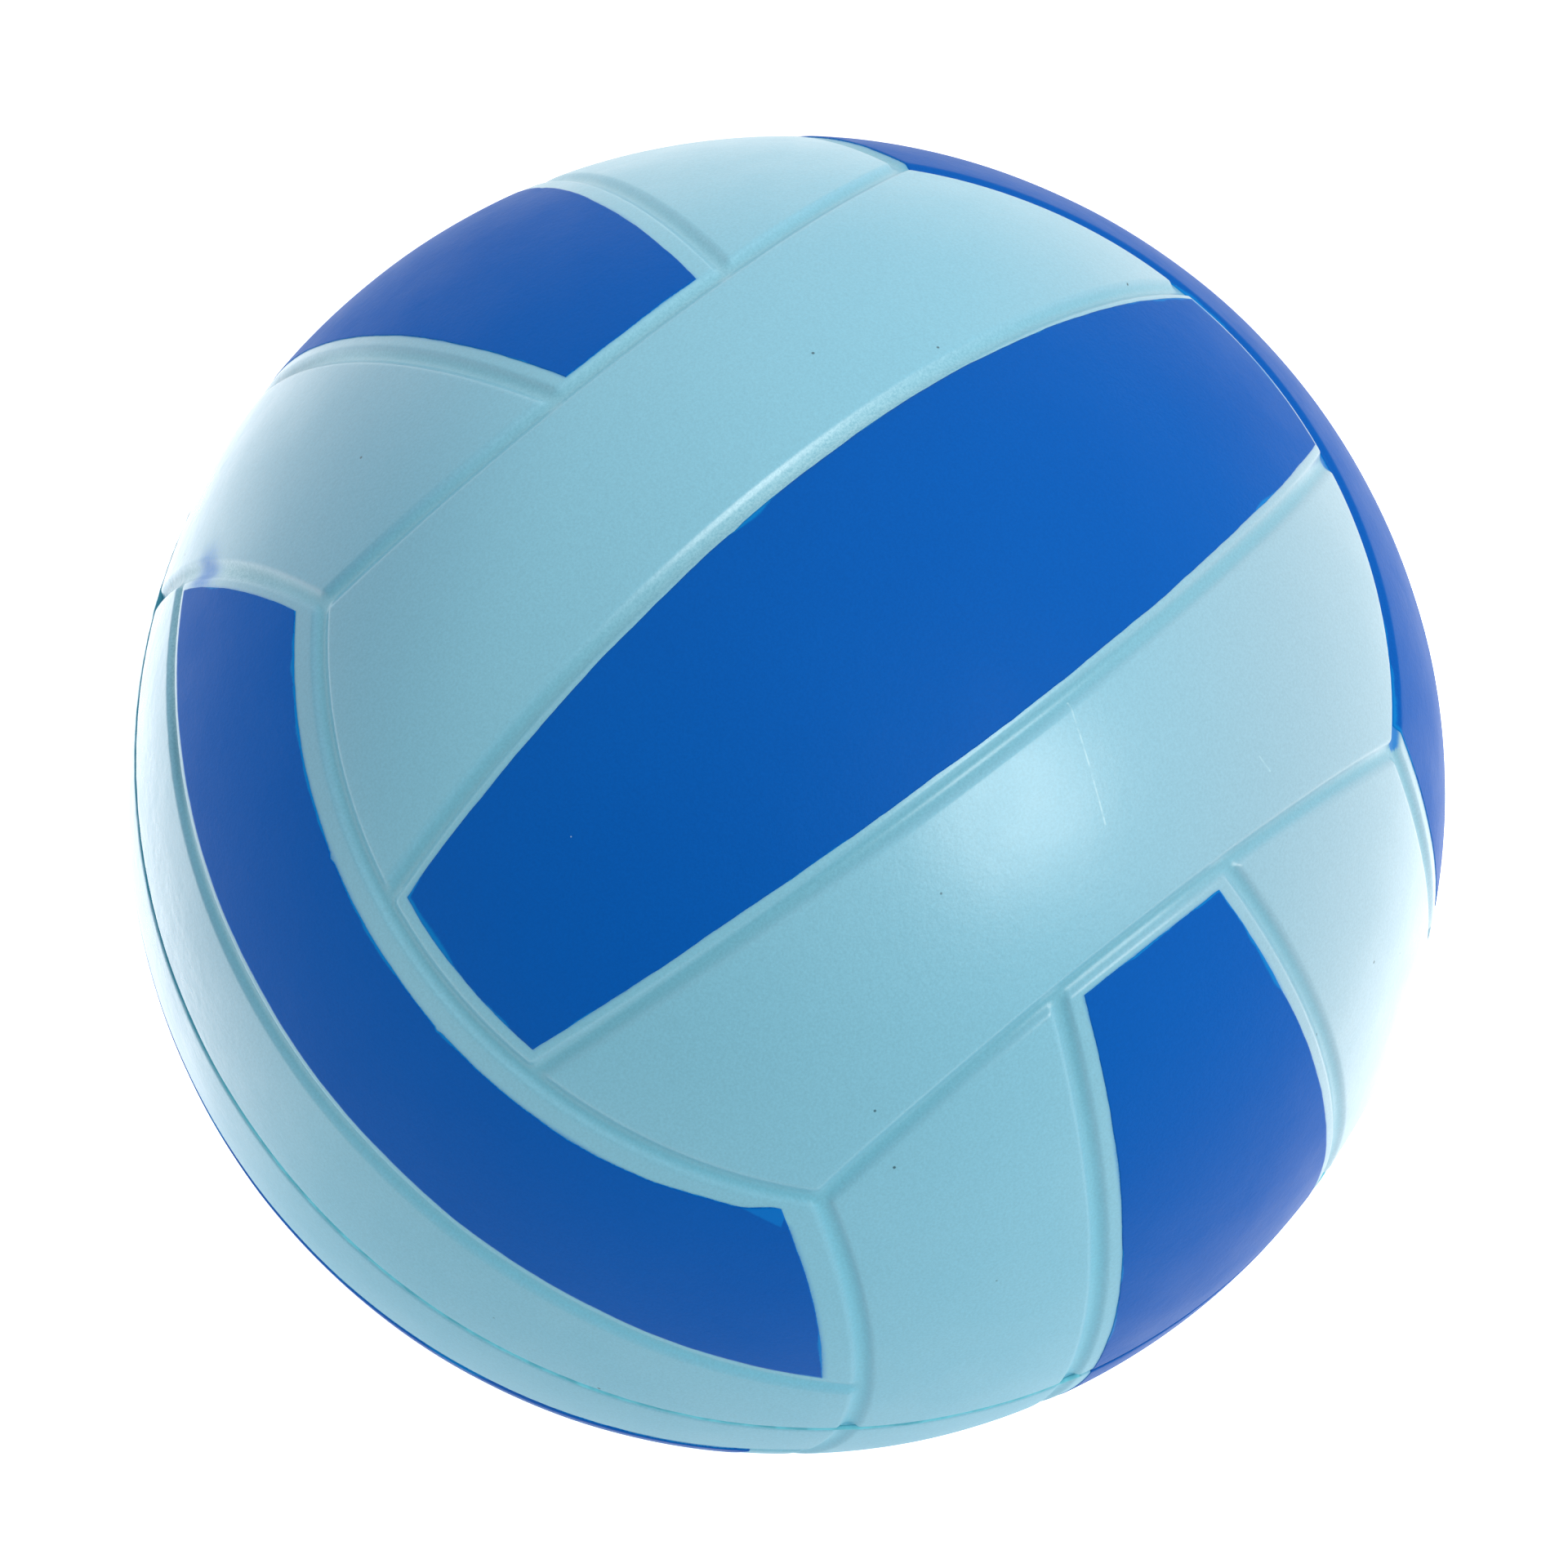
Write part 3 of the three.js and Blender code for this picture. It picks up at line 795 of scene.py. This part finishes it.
def flash_material():
    material, graph, shader, place = new_material("torn_foam_web")
    # The web is dark teal on the side away from the key light, which is painted shade, and in random
    # patches elsewhere.
    patches = graph.ramp(graph.noise(place, 1.2 * MM, 3.0), 0.35, 0.7, 0.0, 0.5)
    dark = graph.math("MAXIMUM", toward(graph, place, GLOSSY_SHADED_SIDE), patches)
    graph.feed(shader, {
        "Base Color": mixed(graph, dark, FLASH_BRIGHT, FLASH_SHADE_TEAL),
        "Normal": bumped(graph, graph.noise(place, 0.1 * MM, 3.0), 0.02 * MM, 0.6),
        "Roughness": 0.7,
    })
    return material


def foam_material():
    material, graph, shader, place = new_material("open_cell_foam")
    cells = graph.first("ShaderNodeTexVoronoi", {"Vector": place, "Scale": 1 / (0.5 * MM)})
    graph.feed(shader, {
        "Base Color": mixed(graph, cells, FOAM_SHADE, FOAM_CREAM),
        "Normal": bumped(graph, cells, 0.2 * MM, 0.7),
        "Roughness": 0.95,
        "Specular IOR Level": 0.2,
    })
    return material


# --- Pieces -------------------------------------------------------------------------------------

def net_lines():
    """The grid lines on a face's positive side: along the strips, then across them."""
    radius = CROWN_RADIUS
    beside_parting = (0.06 * MM, 0.24 * MM)
    beside_groove = (0.095 * MM, 0.75 * MM)
    inner = graded(STRIP_ANGLE * radius, beside_parting, beside_groove, SKIN_STEP)
    outer = graded((SIDE_ANGLE - STRIP_ANGLE) * radius, beside_groove, beside_groove, SKIN_STEP)
    angle = np.r_[inner, STRIP_ANGLE * radius + outer[1:]] / radius
    return (angle, side_lean(angle)), end_line(end_azimuth(angle))


def dome(side):
    """The outer surface of one half of the skin, on a unit ball. side is 1 for the front half."""
    sides, ends = net_lines()
    all_sides, all_ends = both_ways(*sides), both_ways(*ends)
    sheets = [face_sheet("front", all_ends, all_sides)]
    for face in ("right", "left"):
        sheets.append(face_sheet(face, all_ends, half_way(*sides)))
    for face in ("upper", "lower"):
        sheets.append(face_sheet(face, half_way(*ends), all_sides))
    points, quads = joined(sheets)
    places, corners = welded(points * CROWN_RADIUS, quads)
    places[:, 2] *= side
    return places, [face[::side] for face in corners]


def lining(places, side):
    """Closes a dome with a smooth inner wall: places of its rings, and the faces, given the
    dome's places. Every ring has one point for each point of the dome's rim."""
    rings = LINING_RINGS
    rim = np.flatnonzero(np.abs(places[:, 2]) < PARTING_HALF_GAP * 1.001)
    turn = np.arctan2(places[rim, 1], places[rim, 0])
    rim, turn = rim[np.argsort(turn)], np.sort(turn)
    count = len(rim)
    inner = CROWN_RADIUS - SKIN_THICKNESS
    added, faces = [], []
    for ring in range(rings):
        polar = math.pi / 2 * (1 - ring / rings)
        level = max(inner * math.cos(polar), PARTING_HALF_GAP)
        flat = math.sqrt(inner**2 - level**2)
        ring_level = np.full(count, level * side)
        added.append(np.stack([flat * np.cos(turn), flat * np.sin(turn), ring_level], -1))
    added = np.concatenate(added + [[[0, 0, inner * side]]])
    start = len(places)
    loops = [rim] + [start + ring * count + np.arange(count) for ring in range(rings)]
    for low, high in zip(loops, loops[1:]):
        for i in range(count):
            k = (i + 1) % count
            faces.append((low[i], high[i], high[k], low[k])[::side])
    top, pole = loops[-1], start + rings * count
    faces += [(top[i], pole, top[(i + 1) % count])[::side] for i in range(count)]
    return added, faces


def window_sides(strip, low_side, high_side):
    """The angle and lean of a window's low side and of its high side, given its bare widths."""
    return {
        -1: (-(SIDE_ANGLE - low_side), 0, -(STRIP_ANGLE + high_side), -STRIP_LEAN),
        0: (-(STRIP_ANGLE - low_side), -STRIP_LEAN, STRIP_ANGLE - high_side, STRIP_LEAN),
        1: (STRIP_ANGLE + low_side, STRIP_LEAN, SIDE_ANGLE - high_side, 0),
    }[strip]


def coat_distance(unit, face, strip, margin):
    """How far points of the ball are outside a coat's window, in metres, below 0 inside it.
    Points on other faces are far away."""
    own = np.array(FACES[face](1.0, 2.0, 3.0))
    order = [int(np.flatnonzero(np.abs(own) == axis)[0]) for axis in (1, 2, 3)]
    s, t, w = (unit[:, place] * np.sign(own[place]) for place in order)
    low_end, high_end, low_side, high_side = (m * MM / CROWN_RADIUS for m in margin)
    low, low_lean, high, high_lean = window_sides(strip, low_side, high_side)

    def past(bound, lean):
        tilted = np.clip(t * math.cos(lean) - w * math.sin(lean), -1, 1)
        return np.arcsin(tilted) - (bound - lean)

    sides = np.maximum(-past(low, low_lean), past(high, high_lean))
    bound = np.where(s > 0, END_ANGLE - high_end, END_ANGLE - low_end)
    ends = np.arccos(np.clip(w, -1, 1)) - bound
    on_face = (w > EDGE_HEIGHT - 0.03) & (np.abs(t) < EDGE_HEIGHT + 0.03)
    return np.where(on_face, np.maximum(sides, ends), 9.0) * CROWN_RADIUS


def patches_on(unit, patches):
    """The strongest of some patches at each point of the ball. Each fades from its middle."""
    most = np.zeros(len(unit))
    for middle, radius, strength in patches:
        middle = np.array(middle) / np.linalg.norm(middle)
        away = np.linalg.norm(unit - middle, axis=1) * CROWN_RADIUS / radius
        most = np.maximum(most, strength * np.exp(-(away**2)))
    return most


def mist_on(unit):
    """How much stray paint lies on each point of the skin, from 0 to 1."""
    mist = patches_on(unit, OVERSPRAY)
    for face, strip, margin, _ in COATS.values():
        outside = np.maximum(coat_distance(unit, face, strip, margin), 0)
        mist = np.maximum(mist, MIST * np.exp(-outside / MIST_FADE))
    # Paint ran along the seam between the front and right faces, from its middle downwards.
    from_seam = np.abs(np.arcsin(np.clip(unit[:, 2], -1, 1)) - SIDE_ANGLE) * CROWN_RADIUS
    on_seam = (unit[:, 0] > EDGE_HEIGHT) & (np.abs(unit[:, 1]) < EDGE_HEIGHT)
    run = smooth_step(0.16, -0.12, unit[:, 1]) * smooth_step(0.62 * MM, 0.3 * MM, from_seam)
    return np.maximum(mist, np.where(on_seam, run, 0))


def make_skin(name, side, tree, material):
    outer, outer_faces = dome(side)
    inner, inner_faces = lining(outer, side)
    points = np.concatenate([outer, inner])
    moulded = np.r_[np.ones(len(outer)), np.zeros(len(inner))]
    size = np.linalg.norm(points, axis=1)
    unit = points / size[:, None]
    height = np.where(moulded, 0, size - CROWN_RADIUS)
    attributes = {
        "moulded": moulded,
        "height": height,
        "mist": mist_on(unit) * moulded,
        "dust": patches_on(unit, DUSTINGS) * moulded,
    }
    skin = solid_object(name, points, outer_faces + inner_faces, attributes)
    return grown(skin, tree, material)


def wavering(rng, places):
    """A smooth, uneven line over places along an edge: the sum of waves of many lengths."""
    line = np.zeros(len(places))
    for length in WAVER_LENGTHS:
        phase = rng.uniform(0, 2 * math.pi)
        line += length**0.6 * np.sin(2 * math.pi * places / (length * MM) + phase)
    return line * RAGGED / len(WAVER_LENGTHS)


def slipped(marks, side, places):
    """How far the marks move one side of a window outwards, at places along it."""
    line = np.zeros(len(places))
    for name, middle, half_width, reach in marks:
        if name == side:
            line += np.exp(-3 * ((places / MM - middle) / half_width) ** 2) * reach * MM
    return line


def make_coat(name, tree, material, rng):
    """One coat: its upper surface, the same surface sunk into the skin, and a wall between."""
    face, strip, margin, marks = COATS[name]
    radius = CROWN_RADIUS
    low_end, high_end, low_side, high_side = (m * MM / radius for m in margin)
    low, low_lean, high, high_lean = window_sides(strip, low_side, high_side)
    start, stop = -(END_ANGLE - low_end), END_ANGLE - high_end
    fine, middle = (0.09 * MM, 0.35 * MM), (0.055 * MM, 0.3 * MM)
    first_half = graded(-start * radius, fine, middle, COAT_STEP)
    last_half = graded(stop * radius, fine, middle, COAT_STEP)
    along = np.r_[first_half, (stop - start) * radius - last_half[::-1][1:]]
    across = graded((high - low) * radius, fine, fine, COAT_STEP)

    low_line = low - (wavering(rng, along) + slipped(marks, "low", along)) / radius
    high_line = high + (wavering(rng, along) + slipped(marks, "high", along)) / radius
    start_line = start - wavering(rng, across) / radius
    stop_line = stop + wavering(rng, across) / radius
    p = (along / along[-1])[:, None]
    q = (across / across[-1])[None]
    end = start_line[None] * (1 - p) + stop_line[None] * p
    side = low_line[:, None] * (1 - q) + high_line[:, None] * q
    at = crossing((end, end_lean(end)), (side, low_lean * (1 - q) + high_lean * q))
    top = np.stack(FACES[face](at[..., 0], at[..., 1], at[..., 2]), -1)
    rows, columns = top.shape[:2]
    from_end = np.minimum(along, along[-1] - along)
    from_side = np.minimum(across, across[-1] - across)
    inward = np.minimum(from_end[:, None], from_side[None])
    points = np.concatenate([top.reshape(-1, 3)] * 2) * radius
    count = rows * columns
    flip = face in TURNED_OVER
    upper = grid_quads(rows, columns, flip)
    lower = grid_quads(rows, columns, not flip) + count
    number = np.arange(count).reshape(rows, columns)
    loop = np.r_[number[:-1, 0], number[-1, :-1], number[:0:-1, -1], number[0, :0:-1]]
    after = np.roll(loop, -1)
    wall = np.stack([loop, loop + count, after + count, after], -1)
    wall = wall[:, ::-1] if flip else wall
    attributes = {
        "moulded": np.ones(2 * count),
        "height": np.repeat([PAINT_HEIGHT, PAINT_ROOT], count),
        "edge": np.tile(inward.ravel(), 2),
    }
    coat = solid_object(name, points, np.concatenate([upper, lower, wall]), attributes)
    return grown(coat, tree, material)


def make_core(tree, material):
    """The lump of foam inside, a little under the frame's size so that its pits stay in it."""
    angle = np.linspace(0, SIDE_ANGLE, CORE_LINES)
    sides, ends = (angle, side_lean(angle)), end_line(end_azimuth(angle))
    sheets = [face_sheet(face, both_ways(*ends), both_ways(*sides)) for face in FACES]
    points, quads = joined(sheets)
    places, corners = welded(points * CORE_RADIUS, quads)
    return grown(solid_object("foam_core_lump", places, corners, {}), tree, material)


def make_web(tree, material):
    return grown(solid_object("parting_web", [(0, 0, 0)], [], {}), tree, material)


def settle(piece, node):
    """Puts a finished piece in its node's place: on its body."""
    body = BODY_OF[node]
    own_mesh(piece)
    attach(piece, body)
    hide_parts(node)


# --- Stage --------------------------------------------------------------------------------------

# Where the camera stands: around +Z from -Y, up from the floor, and how far it is rolled.
VIEW_AZIMUTH = math.radians(-71.64)
VIEW_ELEVATION = math.radians(68.88)
VIEW_ROLL = math.radians(32.8)
VIEW_DISTANCE = 25 * BALL_RADIUS
VIEW_LENS = 379
VIEW_SHIFT = (-0.001, 0.007)

# The key light's direction in the camera's own axes: right, up, towards the camera.
KEY_DIRECTION = (0.62, -0.01, 0.78)
KEY_DISTANCE = 0.5
KEY_SIZE = 0.27
KEY_POWER = 1.15
KEY_COLOUR = (1.0, 0.97, 0.93)

# The room's light in every direction, and how much more comes from the camera's right and top.
ROOM_LIGHT = 0.7
ROOM_FROM_RIGHT = 0.16
ROOM_FROM_TOP = 0.5
ROOM_COLOUR = (1.0, 0.99, 0.97)
ROOM_WHITE = (1, 1, 1, 1)
FLOOR_WHITE = (0.93, 0.93, 0.94, 1)
FLOOR_GLOW = 0.3
FLOOR_REACH = 30

# Patches where the floor glows more: how far they lie from the ball towards the camera's right
# and top, their radius, and the glow added in the middle.
FLOOR_PATCHES = (
    (-0.055, 0.012, 0.065, 0.95),
    (0.06, 0.0, 0.08, 1.1),
)


def view_axes():
    """The camera's right, up and backward directions."""
    level = Vector((math.cos(VIEW_AZIMUTH), math.sin(VIEW_AZIMUTH), 0))
    back = Vector((
        math.sin(VIEW_AZIMUTH) * math.cos(VIEW_ELEVATION),
        -math.cos(VIEW_AZIMUTH) * math.cos(VIEW_ELEVATION),
        math.sin(VIEW_ELEVATION),
    ))
    up = back.cross(level)
    right = level * math.cos(VIEW_ROLL) + up * math.sin(VIEW_ROLL)
    return right, back.cross(right), back


def placed(obj, right, up, back, place):
    axes = Matrix((right, up, back)).transposed().to_4x4()
    obj.matrix_world = Matrix.Translation(place) @ axes
    bpy.context.scene.collection.objects.link(obj)
    return obj


def make_camera():
    right, up, back = view_axes()
    lens = bpy.data.cameras.new("camera")
    lens.lens = VIEW_LENS
    lens.shift_x, lens.shift_y = VIEW_SHIFT
    lens.clip_end = 100
    camera = bpy.data.objects.new("camera", lens)
    placed(camera, right, up, back, back * VIEW_DISTANCE)
    bpy.context.scene.camera = camera


def make_lights():
    right, up, back = view_axes()
    direction = right * KEY_DIRECTION[0] + up * KEY_DIRECTION[1] + back * KEY_DIRECTION[2]
    direction.normalize()
    light = bpy.data.lights.new("key_softbox", "AREA")
    light.shape = "DISK"
    light.size = KEY_SIZE
    light.energy = KEY_POWER
    light.color = KEY_COLOUR
    light.use_shadow = False
    side = direction.orthogonal().normalized()
    softbox = bpy.data.objects.new("key_softbox", light)
    placed(softbox, side, direction.cross(side), direction, direction * KEY_DISTANCE)

    world = bpy.data.worlds.new("pale_room")
    bpy.context.scene.world = world
    world.use_nodes = True
    graph = Graph(world.node_tree)
    background = world.node_tree.nodes["Background"]
    outlook = graph.node("ShaderNodeTexCoord").outputs["Generated"]
    brighter = tuple(right * ROOM_FROM_RIGHT + up * ROOM_FROM_TOP)
    more = graph.vector_math("DOT_PRODUCT", outlook, brighter, output="Value")
    light_there = graph.scaled(ROOM_COLOUR, graph.plus(more, ROOM_LIGHT))
    # The room itself looks white where the floor ends.
    seen = graph.node("ShaderNodeLightPath").outputs["Is Camera Ray"]
    graph.feed(background, {0: mixed(graph, seen, light_there, ROOM_WHITE)})


def make_floor():
    corners = [(x, y, REST_HEIGHT) for x, y in ((-1, -1), (1, -1), (1, 1), (-1, 1))]
    corners = [(x * FLOOR_REACH, y * FLOOR_REACH, z) for x, y, z in corners]
    floor = solid_object("floor", corners, [(0, 1, 2, 3)], {})
    material, graph, shader, place = new_material("pale_floor")
    flat_right, flat_up = (Vector((axis.x, axis.y, 0)).normalized() for axis in view_axes()[:2])
    glow = FLOOR_GLOW
    for right, up, radius, more in FLOOR_PATCHES:
        middle = flat_right * right + flat_up * up + Vector((0, 0, REST_HEIGHT))
        away = graph.vector_math("DISTANCE", place, tuple(middle), output="Value")
        glow = graph.plus(glow, graph.ramp(away, 0.0, radius, more, 0.0))
    graph.feed(shader, {
        "Base Color": FLOOR_WHITE,
        "Roughness": 0.9,
        "Specular IOR Level": 0.0,
        "Emission Color": ROOM_WHITE,
        "Emission Strength": glow,
    })
    floor.data.materials.append(material)


# --- Putting it together ------------------------------------------------------------------------

make_camera()
make_lights()
make_floor()
bpy.context.scene.view_settings.view_transform = "Standard"

relief = relief_tree()
skin_coat = skin_material()
blue_paint = paint_material()
for node, side in (("front_half_skin", 1), ("rear_half_skin", -1)):
    skin = make_skin(node.replace("half_", "") + "_shell", side, relief, skin_coat)
    settle(skin, node)

core = make_core(cell_tree(), foam_material())
settle(core, "foam_core")
web = make_web(web_tree(), flash_material())
settle(web, "parting_flash")

rng = np.random.default_rng(SEED)
for node in COATS:
    coat = make_coat(node, relief, blue_paint, rng)
    coat.name = node.replace("paint_", "coat_")
    settle(coat, node)
